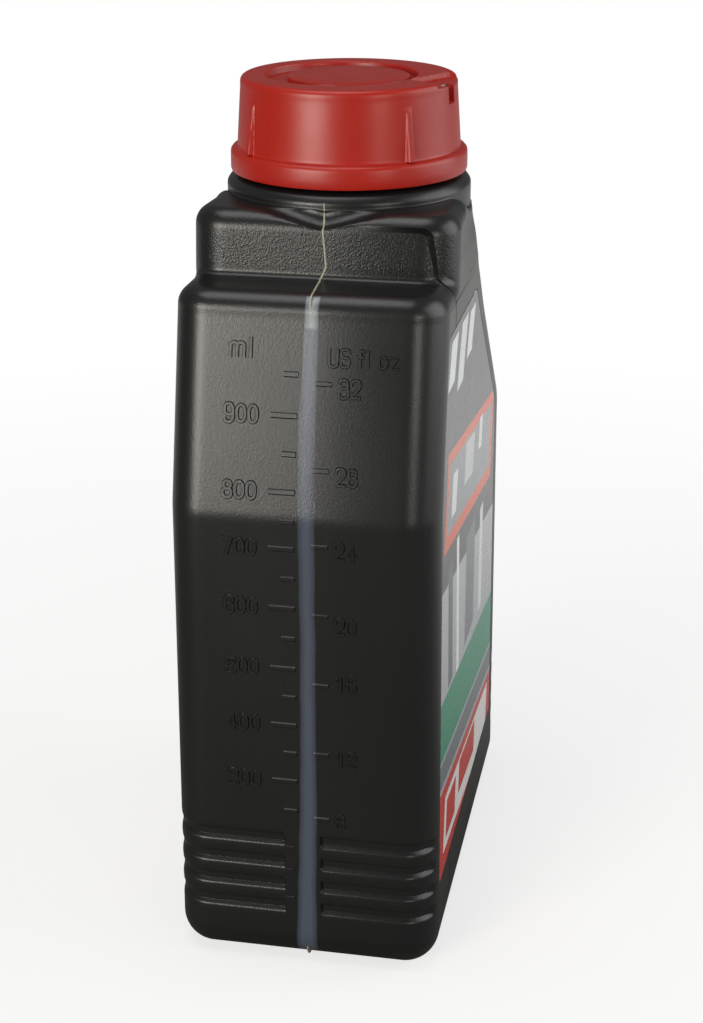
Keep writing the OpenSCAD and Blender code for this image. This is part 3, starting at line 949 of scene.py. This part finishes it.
def raised_lines(lines, height):
    """Each line as a flat-topped ridge on the scale side: its cross-section is carried along the line,
    square to it in the face, and its two ends are closed.

    The top rises a little along each line, and every other line is lower, so no two tops share a plane."""
    points, faces = [], []
    start = 0
    for count, (line, half) in enumerate(lines):
        keep = np.concatenate([[True], np.hypot(*np.diff(line, axis=0).T) > 1e-6])
        line = line[keep].copy()
        run = np.gradient(line, axis=0)
        run /= np.linalg.norm(run, axis=1)[:, None]
        side = np.stack([-run[:, 1], run[:, 0]], -1)
        line[0] -= run[0] * half * 0.6
        line[-1] += run[-1] * half * 0.6
        shape = np.array([(-1, -0.12), (-0.97, 0.0), (-0.58, height), (0.58, height),
                          (0.97, 0.0), (1, -0.12)])
        at = line[:, None, :] + side[:, None, :] * shape[None, :, :1] * half
        rise = (0.93 + 0.07 * np.linspace(0, 1, len(line))[:, None]) * (1.0 - 0.12 * (count % 2))
        lift = np.broadcast_to(shape[None, :, 1], at.shape[:2]) * rise
        p = near_point(at[..., 0], at[..., 1], lift)
        m, n = p.shape[:2]
        points.append(p.reshape(-1, 3))
        faces += grid_faces(m, n, True, start).tolist()
        faces += [list(range(start, start + n))[::-1], list(range(start + (m - 1) * n, start + m * n))]
        start += m * n
    return np.concatenate(points), faces


SEAM = filleted(
    [(-28.5, 178.0), (-28.5, 173.2), (-33.0, 172.9), (-33.8, 162.0), (-48.3, 162.0), (-48.9, 159.0)],
    [3.2, 0.6, 1.5, 2.8])


def swept_ridge(path, y, width, height):
    """A thin ridge along a path of (x, z) with y beside it, round in section, tapering off at its ends."""
    run = np.gradient(path, axis=0)
    run /= np.linalg.norm(run, axis=1)[:, None]
    fade = np.sin(np.linspace(0.02, 0.98, len(path)) * math.pi) ** 0.25
    a = np.linspace(0, 2 * math.pi, 9)[:-1]
    w = (width * fade)[:, None] * np.cos(a)[None, :] / 2
    lift = (height * fade)[:, None] * np.sin(a)[None, :]
    x = path[:, :1] + lift * run[:, 1:]
    z = path[:, 1:] - lift * run[:, :1]
    return np.stack([x, y[:, None] + w, z], -1)


def cap_angles():
    """Directions of the cap's columns, close together at the ribs, the wedge step and the notch."""
    ribs = [RIB_TURN + 90 * k + np.linspace(-3, 3, 21) for k in range(4)]
    sides = [np.linspace(-5, -3.4, 17), np.linspace(3.4, 5, 17), np.linspace(-3, 3, 9)]
    notch = NOTCH_TURN + np.concatenate(sides)
    wedge = NOTCH_TURN + np.arange(-38, 38, 0.75)
    every = np.concatenate([np.arange(0, 360, 1.5), *ribs, notch, wedge])
    every = np.unique(np.round(every % 360, 2))
    return np.radians(every[np.concatenate([[True], np.diff(every) > 0.07])])


def wedge_depth(x, y):
    """How far outside the wedge-shaped step a point of the cap's top lies, 0 or less inside it."""
    lean = NOTCH - math.radians(67.3)
    c, s = math.cos(lean), math.sin(lean)
    u, v = c * x + s * y, -s * x + c * y
    corners = np.array([(8.2, 13.8), (-2.4, 23.4), (-2.4, 28.0), (11.0, 28.0), (16.5, 21.5)])
    out = np.full_like(x, -99.0)
    for p, q in zip(corners, np.roll(corners, -1, 0)):
        d = (q - p) / np.linalg.norm(q - p)
        out = np.maximum(out, -(d[1] * (u - p[0]) - d[0] * (v - p[1])))
    return out


def cap_rows():
    """The red shell's surface: a profile turned round the axis, from the roof inside, down the bore, under
    the flange, up the skirt with its tapered ribs, over the rim and down into the recess to the middle.

    The recess wall is a circle off the axis; the wedge step and the notch lower or draw in what they cut."""
    s = cap_sizes()
    top, low, fl = s["top"], s["bottom"], s["flange_radius"]
    ang = cap_angles()
    n = len(ang)
    c, sn = np.cos(ang), np.sin(ang)
    arc = quarter(7)
    skirt_z = np.concatenate([np.arange(low + 5.9, low + 16.1, 0.55), [low + 16.24, low + 16.34], np.arange(
        low + 16.9, top - 1.5, 0.45)])
    skirt_r = np.interp(skirt_z, [low + 5.5, top - 2.4], [26.0, 25.1])
    profile = [(0.5, top - 2.4), (12, top - 2.4), (20, top - 2.4), (22.4, top - 2.4), (23.1, top - 2.6),
               (23.4, top - 3.2), (23.4, low + 16.34), (23.4, low + 16.24), (23.4, low + 9),
               (23.4, low + 0.6), (23.7, low + 0.1), (24.2, low), (27.1, low), (27.45, low + 0.1),
               (fl, low + 0.5), (fl, low + 2),
               (fl - 0.02, low + 4.1), (fl - 0.12, low + 4.6), (fl - 0.5, low + 5.05), (fl - 1.1, low + 5.3),
               (26.15, low + 5.4), (26.02, low + 5.6)]
    profile += list(zip(skirt_r, skirt_z))
    rim, recess = 1.3, 1.6
    profile += [(25.08 - rim * (1 - math.cos(a)), top - rim + rim * math.sin(a)) for a in arc]
    r, z = turned(profile, n)
    # ribs, widest and proudest at their foot
    off = (ang - math.radians(RIB_TURN) + math.pi / 4) % (math.pi / 2) - math.pi / 4
    across = np.abs(off[None, :]) * 26.0
    wide = np.interp(z, [low + 5, low + 17], [1.3, 0.8])
    proud = s["rib_height"] * np.interp(z, [low + 5.2, low + 16.5, low + 17.2], [1.0, 0.25, 0.0])
    outside = (np.arange(len(profile)) > 20)[:, None]
    r = r + np.where(outside, proud * smooth(wide, wide * 0.45, across), 0.0)

    # over the top: from the rim to the recess, whose edge lies on a circle off the axis
    dx, dy = RECESS_AT
    dot = c * dx + sn * dy
    edge = dot + np.sqrt(dot ** 2 - dx * dx - dy * dy + RECESS_R ** 2)
    w = np.linspace(0, 1, 21)[1:, None]
    over_r = mix(23.7, edge[None, :] + 0.3, w)
    wall = [(0.2, -0.04), (0.08, -0.16), (0.0, -0.4), (0.0, -1.35), (-0.12, -1.56), (-0.35, -recess)]
    wall_r = np.array([edge + a for a, _ in wall])
    floor_r = mix(edge - 0.35, 14.75, np.array([0.4, 0.8])[:, None])
    disc_r, disc_z = turned([(14.6, -recess), (14.35, -1.55), (14.25, -1.4), (14.2, -0.7), (14.1, -0.42),
                             (13.9, -0.32), (9, -0.28), (4.5, -0.26), (0.6, -0.26)], n)
    r = np.concatenate([r, over_r, wall_r, floor_r, disc_r])
    z = np.concatenate([z, np.full_like(over_r, top), top + turned(wall, n)[1],
                        np.full_like(floor_r, top - recess), top + disc_z])
    x, y = r * c, r * sn
    step = top - 1.2 + 5.0 * np.maximum(0.0, wedge_depth(x, y))
    above = (np.arange(len(r)) > 21)[:, None]
    z = np.where(above & (r > 14.8), np.minimum(z, step), z)
    lateral = np.abs(r * np.sin(ang - NOTCH)[None, :])
    cut = smooth(1.75, 1.62, lateral) * (np.cos(ang - NOTCH) > 0)[None, :]
    high = z > low + 16.29
    inner = np.where(above, 22.85, 22.6)
    r = np.where(high & (r > inner), mix(r, inner, cut), r)
    return around(r, z, ang)


def insert_rows():
    """The pale insert: a turned profile from the roof inside, down the threaded bore, round the lower rim
    and up the outer wall to the middle of its top."""
    a = np.radians(np.arange(0, 360, 3.0))
    turn = np.arange(194.6, 184.2, -0.34)
    profile = [(0.5, 197.8), (12, 197.8), (19.6, 197.8), (20.4, 197.65), (21.5, 197.1), (21.8, 196.4)]
    profile += [(21.8, z) for z in turn]
    profile += [(21.8, 183.7), (22.0, 183.2), (22.3, 183.1), (22.8, 183.1), (23.02, 183.25), (23.1, 183.6),
                (23.1, 190), (23.1, 195), (23.1, 198.1), (22.9, 198.8), (22.4, 199.2), (22.0, 199.3),
                (12, 199.3), (0.5, 199.3)]
    r, z = turned(profile, len(a))
    bore = (np.arange(len(profile)) > 5) & (np.arange(len(profile)) < 6 + len(turn))
    r = r - np.where(bore[:, None], 0.75 * thread_crest(z, a[None, :], 2.0), 0.0)
    return around(r, z, a)


def liner_rows():
    """The foam liner: a turned disc with rounded edges and the faint ring that the lip presses into it."""
    a = np.radians(np.arange(0, 360, 3.0))
    profile = [(0.5, 196.7), (10, 196.7), (17.9, 196.7), (18.4, 196.8), (19.2, 196.85), (20.0, 196.8),
               (20.6, 196.7), (21.2, 196.72), (21.36, 196.85), (21.4, 197.1), (21.36, 197.36), (21.2, 197.48),
               (20.9, 197.5), (10, 197.5), (0.5, 197.5)]
    r, z = turned(profile, len(a))
    return around(r, z, a)


def finish_piece(piece, body, made, node_name=None):
    """Gives a piece its material and its body, and hides the CAD node that it stands for."""
    piece.data.materials.clear()
    piece.data.materials.append(made)
    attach(piece, body)
    if node_name:
        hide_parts(node_name)


class BOTTLE_OT_body(bpy.types.Operator):
    """Makes the blow-moulded body with its stripe"""

    bl_idname = "bottle.body"
    bl_label = "Body"

    def execute(self, context):
        piece = closed_surface("body_shell", body_rows())
        finish_piece(piece, "body", black_polyethylene(), "bottle")
        return {"FINISHED"}


class BOTTLE_OT_scale(bpy.types.Operator):
    """Makes the raised volume scale and the parting-line flash on the narrow side"""

    bl_idname = "bottle.scale"
    bl_label = "Volume scale"

    def execute(self, context):
        points, faces = raised_lines(mark_lines(), sizes()["relief"])
        marks = put_mesh("scale_marks", points, faces, 40.0)
        finish_piece(marks, "body", bpy.data.materials["hdpe_black_grained"])
        run = np.concatenate([[0], np.cumsum(np.hypot(*np.diff(SEAM, axis=0).T))])
        along = np.linspace(0, run[-1], 130)
        path = np.stack([np.interp(along, run, SEAM[:, k]) for k in (0, 1)], -1)
        y = np.interp(along, [0, 3, 7.5, 16, 19, 30, 37], [0.05, 0.0, -0.45, -1.35, -0.2, -0.9, -1.0])
        flash = closed_surface("parting_flash", swept_ridge(path, y, 0.5, 0.2))
        a = np.radians(np.linspace(30, 64, 24))
        r = sizes()["base_radius"]
        base = np.stack([NEAR_X + r - r * np.cos(a), r - r * np.sin(a)], -1)
        nub = closed_surface("base_flash", swept_ridge(base, np.full(len(a), -0.7), 0.7, 0.8))
        for piece in (nub, flash):
            finish_piece(piece, "body", seam_polyethylene())
        return {"FINISHED"}


class BOTTLE_OT_labels(bpy.types.Operator):
    """Makes the front and back labels"""

    bl_idname = "bottle.labels"
    bl_label = "Labels"

    def execute(self, context):
        front = label_slab("label_front", -1.0)
        finish_piece(front, "body", front_print(), "front_label")
        back = label_slab("label_back", 1.0)
        finish_piece(back, "body", back_print(), "back_label")
        return {"FINISHED"}


class BOTTLE_OT_cap(bpy.types.Operator):
    """Makes the red cap with its pale insert and foam liner"""

    bl_idname = "bottle.cap"
    bl_label = "Screw cap"

    def execute(self, context):
        shell = closed_surface("cap_shell_red", cap_rows())
        finish_piece(shell, "cap", red_polypropylene(), "cap_shell")
        insert = closed_surface("cap_insert", insert_rows())
        finish_piece(insert, "cap", pale_polypropylene(), "cap_inner")
        liner = closed_surface("cap_foam", liner_rows())
        finish_piece(liner, "liner", foam_liner(), "cap_liner")
        return {"FINISHED"}


class BOTTLE_OT_oil(bpy.types.Operator):
    """Gives the oil in the bottle its look"""

    bl_idname = "bottle.oil"
    bl_label = "Oil"

    def execute(self, context):
        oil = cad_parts["oil"]
        oil.data.materials.clear()
        oil.data.materials.append(fork_oil())
        return {"FINISHED"}


def softbox(name, at, aim, size, power, colour):
    """A square soft lamp at a place, turned to face its aim; sizes in metres."""
    lamp = bpy.data.lights.new(name, "AREA")
    lamp.shape, lamp.size, lamp.energy, lamp.color = "SQUARE", size, power, colour
    obj = bpy.data.objects.new(name, lamp)
    obj.location = at
    obj.rotation_mode = "QUATERNION"
    obj.rotation_quaternion = (Vector(aim) - Vector(at)).to_track_quat("-Z", "Y")
    bpy.context.scene.collection.objects.link(obj)


# the camera, fitted to the photograph: its place in millimetres, its turn in degrees, the rest in pixels
CAMERA_AT = (-455.913, -89.939, 274.300)
CAMERA_YAW, CAMERA_DOWN, CAMERA_ROLL = 11.2005, 21.1239, -0.1457
PHOTO_W, PHOTO_H = 703.0, 1023.0
FOCAL_PX = 1996.814
CENTRE_PX = (348.665, 508.102)
SENSOR_MM = 36.0
# each lamp's name, place, aim, size in metres, power in watts and colour
PLAIN, WARM = (1.0, 1.0, 1.0), (1.0, 0.97, 0.88)
LAMPS = (
    ("key", (-1.0, 0.50, 0.34), (0, 0, 0.15), 0.5, 9.6, WARM),
    ("rim", (-0.90, -0.85, 0.34), (0, 0, 0.15), 0.28, 2.6, WARM),
    ("top", (-0.1, 0.2, 1.6), (0, 0, 0.1), 1.0, 9.0, PLAIN),
    ("side", (0.35, -1.4, 0.6), (0, 0, 0.1), 1.4, 15.0, PLAIN),
)
FLOOR_HALF = 6.0


def paper_floor():
    """White paper: plain white to the camera away from the bottle, where it gives its own light; darker to
    other rays before the bottle, so that its front stays as dark as in the photograph."""
    corners = np.array([(-1, -1, 0), (1, -1, 0), (1, 1, 0), (-1, 1, 0)]) * FLOOR_HALF / MM
    floor = put_mesh("floor", corners, [[0, 1, 2, 3]])
    made, tree, bsdf = material("paper_floor", Roughness=0.95)
    floor.data.materials.append(made)
    seen = node(tree, "ShaderNodeLightPath").outputs["Is Camera Ray"]
    at, x, _, _ = object_axes(tree)
    far = node(tree, "ShaderNodeVectorMath", {0: at}, operation="LENGTH").outputs["Value"]
    paper, shaded = "f6f6f5", "70706e"
    bounce = blend(tree, ramp(tree, x, 0.02, 0.32), linear(shaded), linear(paper))
    feed(tree, bsdf, Base_Color=blend(tree, seen, bounce, linear(paper)))
    white = node(tree, "ShaderNodeEmission", {"Color": (1, 1, 1, 1), "Strength": 1.0}).outputs[0]
    share = node(tree, "ShaderNodeMapRange", {
        "Value": far, "From Min": 0.12, "From Max": 0.45, "To Min": 0.7, "To Max": 1.0}).outputs["Result"]
    share = calc(tree, "MULTIPLY", seen, share)
    out = node(tree, "ShaderNodeMixShader", {0: share, 1: bsdf.outputs[0], 2: white}).outputs[0]
    tree.links.new(out, tree.nodes["Material Output"].inputs["Surface"])


def studio_world(scene):
    """A white surround to camera and transmission rays, and a dim one to all others."""
    dim = 0.16
    world = bpy.data.worlds.new("studio")
    scene.world = world
    world.use_nodes = True
    tree = world.node_tree
    back = tree.nodes["Background"]
    path = node(tree, "ShaderNodeLightPath").outputs
    seen = calc(tree, "MAXIMUM", path["Is Camera Ray"], path["Is Transmission Ray"])
    tree.links.new(calc(tree, "MULTIPLY_ADD", seen, 1.0 - dim, dim), back.inputs["Strength"])
    back.inputs["Color"].default_value = (1, 1, 1, 1)


def photo_camera(scene):
    """The camera of the photograph: its axes from yaw, the angle it looks down and roll; its lens is the
    focal length in pixels over the frame's height, and its shift moves the middle to the principal point."""
    yaw, down, roll = (math.radians(v) for v in (CAMERA_YAW, CAMERA_DOWN, CAMERA_ROLL))
    ahead = np.array([math.cos(yaw) * math.cos(down), math.sin(yaw) * math.cos(down), -math.sin(down)])
    level = np.array([math.sin(yaw), -math.cos(yaw), 0.0])
    above = np.cross(level, ahead)
    matrix = np.eye(4)
    matrix[:3, 0] = math.cos(roll) * level + math.sin(roll) * above
    matrix[:3, 1] = math.cos(roll) * above - math.sin(roll) * level
    matrix[:3, 2] = -ahead
    matrix[:3, 3] = np.array(CAMERA_AT) * MM
    cam = bpy.data.objects.new("camera", bpy.data.cameras.new("camera"))
    cam.matrix_world = Matrix(matrix.tolist())
    cam.data.lens = FOCAL_PX * SENSOR_MM / PHOTO_H
    cam.data.shift_x = (PHOTO_W / 2 - CENTRE_PX[0]) / PHOTO_H
    cam.data.shift_y = (CENTRE_PX[1] - PHOTO_H / 2) / PHOTO_H
    cam.data.clip_start = 0.01
    scene.collection.objects.link(cam)
    scene.camera = cam


class BOTTLE_OT_stage(bpy.types.Operator):
    """Makes the floor, the soft light and the camera"""

    bl_idname = "bottle.stage"
    bl_label = "Stage"

    def execute(self, context):
        paper_floor()
        studio_world(context.scene)
        for lamp in LAMPS:
            softbox(*lamp)
        photo_camera(context.scene)
        context.scene.view_settings.view_transform = "Standard"
        return {"FINISHED"}


class BOTTLE_PT_panel(bpy.types.Panel):
    """Lists the pieces and their sizes"""

    bl_label = "Oil bottle"
    bl_idname = "BOTTLE_PT_panel"
    bl_space_type = "VIEW_3D"
    bl_region_type = "UI"
    bl_category = "Bottle"

    def draw(self, context):
        for group in (context.scene.bottle_sizes, context.scene.cap_sizes, context.scene.bottle_colours):
            box = self.layout.box()
            for key in group.__annotations__:
                box.prop(group, key)
        for step in STEPS:
            self.layout.operator(step.bl_idname)


STEPS = (BOTTLE_OT_body, BOTTLE_OT_scale, BOTTLE_OT_labels, BOTTLE_OT_cap, BOTTLE_OT_oil, BOTTLE_OT_stage)
GROUPS = (BottleSizes, CapSizes, BottleColours)


def register():
    for c in GROUPS + STEPS + (BOTTLE_PT_panel,):
        bpy.utils.register_class(c)
    bpy.types.Scene.bottle_sizes = bpy.props.PointerProperty(type=BottleSizes)
    bpy.types.Scene.cap_sizes = bpy.props.PointerProperty(type=CapSizes)
    bpy.types.Scene.bottle_colours = bpy.props.PointerProperty(type=BottleColours)


def unregister():
    for name in ("bottle_sizes", "cap_sizes", "bottle_colours"):
        delattr(bpy.types.Scene, name)
    for c in reversed(GROUPS + STEPS + (BOTTLE_PT_panel,)):
        bpy.utils.unregister_class(c)


def main():
    register()
    bpy.ops.bottle.body()
    bpy.ops.bottle.scale()
    bpy.ops.bottle.labels()
    bpy.ops.bottle.cap()
    bpy.ops.bottle.oil()
    bpy.ops.bottle.stage()


if __name__ == "__main__":
    main()
